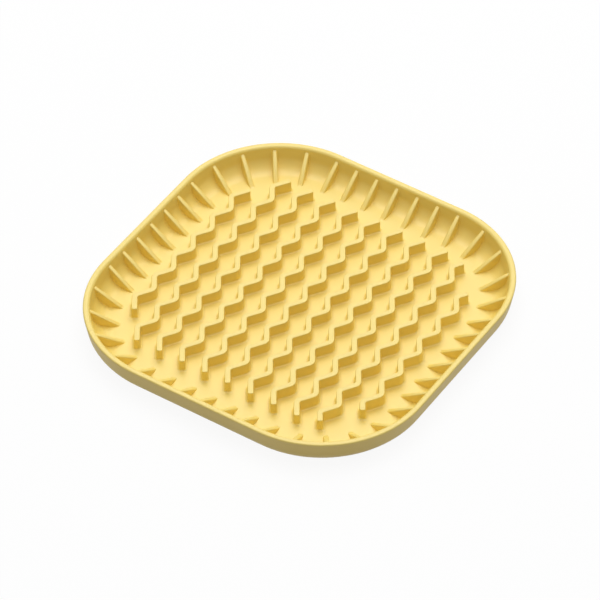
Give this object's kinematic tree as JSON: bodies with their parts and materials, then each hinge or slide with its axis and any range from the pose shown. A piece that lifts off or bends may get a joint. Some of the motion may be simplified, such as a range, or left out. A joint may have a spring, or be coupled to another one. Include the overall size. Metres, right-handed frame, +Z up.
{
  "type": "pet lick bowl",
  "caption": "Shallow square silicone pet lick bowl with round corners, zigzag ribs across its floor and slanted fins round its cove.",
  "frame": {"origin": "middle of the flat underside", "axes": "+X across the ribs, +Y along the ribs, +Z up out of the dish"},
  "size_m": [0.1796, 0.1796, 0.014],
  "materials": {
    "silicone": "matte pale yellow moulded silicone"
  },
  "bodies": {
    "root": {"floor_panel": "silicone", "foot_ring": "silicone", "cove_ring": "silicone", "side_wall": "silicone", "rim_band": "silicone", "zigzag_rib_1": "silicone", "zigzag_rib_2": "silicone", "zigzag_rib_3": "silicone", "zigzag_rib_4": "silicone", "zigzag_rib_5": "silicone", "zigzag_rib_6": "silicone", "zigzag_rib_7": "silicone", "zigzag_rib_8": "silicone", "zigzag_rib_9": "silicone", "zigzag_rib_10": "silicone", "zigzag_rib_11": "silicone", "right_fin_1": "silicone", "right_fin_2": "silicone", "right_fin_3": "silicone", "right_fin_4": "silicone", "right_fin_5": "silicone", "right_fin_6": "silicone", "right_fin_7": "silicone", "back_fin_1": "silicone", "back_fin_2": "silicone", "back_fin_3": "silicone", "back_fin_4": "silicone", "back_fin_5": "silicone", "back_fin_6": "silicone", "back_fin_7": "silicone", "left_fin_1": "silicone", "left_fin_2": "silicone", "left_fin_3": "silicone", "left_fin_4": "silicone", "left_fin_5": "silicone", "left_fin_6": "silicone", "left_fin_7": "silicone", "front_fin_1": "silicone", "front_fin_2": "silicone", "front_fin_3": "silicone", "front_fin_4": "silicone", "front_fin_5": "silicone", "front_fin_6": "silicone", "front_fin_7": "silicone", "back_right_corner_fin_1": "silicone", "back_right_corner_fin_2": "silicone", "back_right_corner_fin_3": "silicone", "back_right_corner_fin_4": "silicone", "back_left_corner_fin_1": "silicone", "back_left_corner_fin_2": "silicone", "back_left_corner_fin_3": "silicone", "back_left_corner_fin_4": "silicone", "front_left_corner_fin_1": "silicone", "front_left_corner_fin_2": "silicone", "front_left_corner_fin_3": "silicone", "front_left_corner_fin_4": "silicone", "front_right_corner_fin_1": "silicone", "front_right_corner_fin_2": "silicone", "front_right_corner_fin_3": "silicone", "front_right_corner_fin_4": "silicone"}
  },
  "joints": []
}
